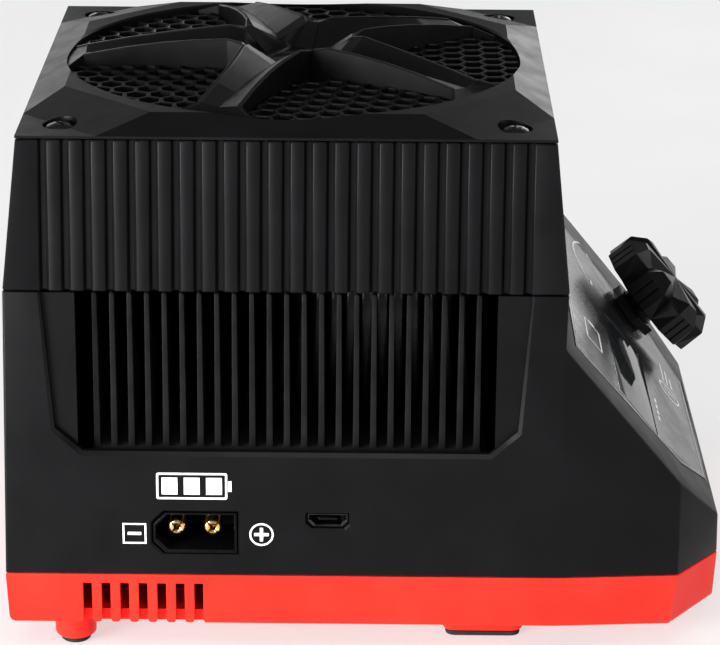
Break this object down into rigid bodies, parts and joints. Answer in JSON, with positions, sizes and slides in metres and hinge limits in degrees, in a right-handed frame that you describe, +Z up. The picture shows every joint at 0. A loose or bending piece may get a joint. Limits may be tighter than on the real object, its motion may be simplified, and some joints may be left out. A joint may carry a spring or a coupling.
{
  "type": "balance battery charger",
  "caption": "Bench battery charger for radio-control models: a black finned load under a guarded top fan, a sloped front panel with display and knob, on a red base tray.",
  "frame": {"origin": "centre of the bounding box at the level of the rubber feet's undersides", "axes": "+X points out of the front, towards the foot of the sloped control panel; +Z is up; the battery socket is on the -Y side"},
  "size_m": [0.147, 0.1108, 0.1144],
  "materials": {
    "black_housing": "satin",
    "red_tray": "satin",
    "rubber": "matte",
    "black_metal": "satin",
    "screw_steel": "satin",
    "gold": "polished",
    "steel": "satin",
    "board_green": "satin",
    "socket_black": "satin",
    "fan_black": "matte",
    "label_gloss": "gloss",
    "window_clear": "gloss",
    "display_grey": "satin",
    "knob_black": "satin",
    "component_black": "matte",
    "shunt_metal": "satin"
  },
  "bodies": {
    "case": {"base_tray": "red_tray", "foot_rear_left": "rubber", "foot_rear_right": "rubber", "foot_front_left": "rubber", "foot_front_right": "rubber", "lower_housing": "black_housing", "fan_shroud": "black_housing", "fan_guard": "black_housing", "fan_frame": "fan_black", "heat_sink": "black_metal", "main_pcb": "board_green", "capacitor_1": "component_black", "capacitor_2": "component_black", "shunt_resistor": "shunt_metal", "buzzer": "component_black", "usb_board": "board_green", "battery_socket": "socket_black", "socket_pin_minus": "gold", "socket_pin_plus": "gold", "usb_port": "black_metal", "panel_label": "label_gloss", "lcd_window": "window_clear", "lcd_module": "display_grey", "control_pcb": "board_green", "encoder_body": "steel", "encoder_nut": "black_metal", "base_screw_1": "screw_steel", "guard_screw_1": "screw_steel", "mosfet_1": "component_black", "base_screw_2": "screw_steel", "guard_screw_2": "screw_steel", "mosfet_2": "component_black", "base_screw_3": "screw_steel", "guard_screw_3": "screw_steel", "mosfet_3": "component_black", "base_screw_4": "screw_steel", "guard_screw_4": "screw_steel", "mosfet_4": "component_black", "guard_screen_1": "black_housing", "guard_screen_2": "black_housing", "guard_screen_3": "black_housing", "guard_screen_4": "black_housing", "guard_screen_5": "black_housing"},
    "rotor": {"fan_rotor": "fan_black"},
    "encoder": {"encoder_rotor": "component_black"},
    "dial": {"encoder_shaft": "steel", "knob": "knob_black"}
  },
  "joints": [
    {"name": "fan_spin", "type": "hinge", "parent": "case", "child": "rotor", "pos_m": [-0.01735, 0, 0.09], "axis": [0, 0, 1], "continuous": true},
    {"name": "knob_turn", "type": "hinge", "parent": "case", "child": "encoder", "pos_m": [0.05638, 0.033, 0.04206], "axis": [0.7702, 0, 0.6378], "continuous": true},
    {"name": "knob_press", "type": "slide", "parent": "encoder", "child": "dial", "axis": [-0.7702, 0, -0.6378], "range_m": [0, 0.0005], "stiffness_N_per_m": 2000, "springref_m": -0.0005}
  ]
}
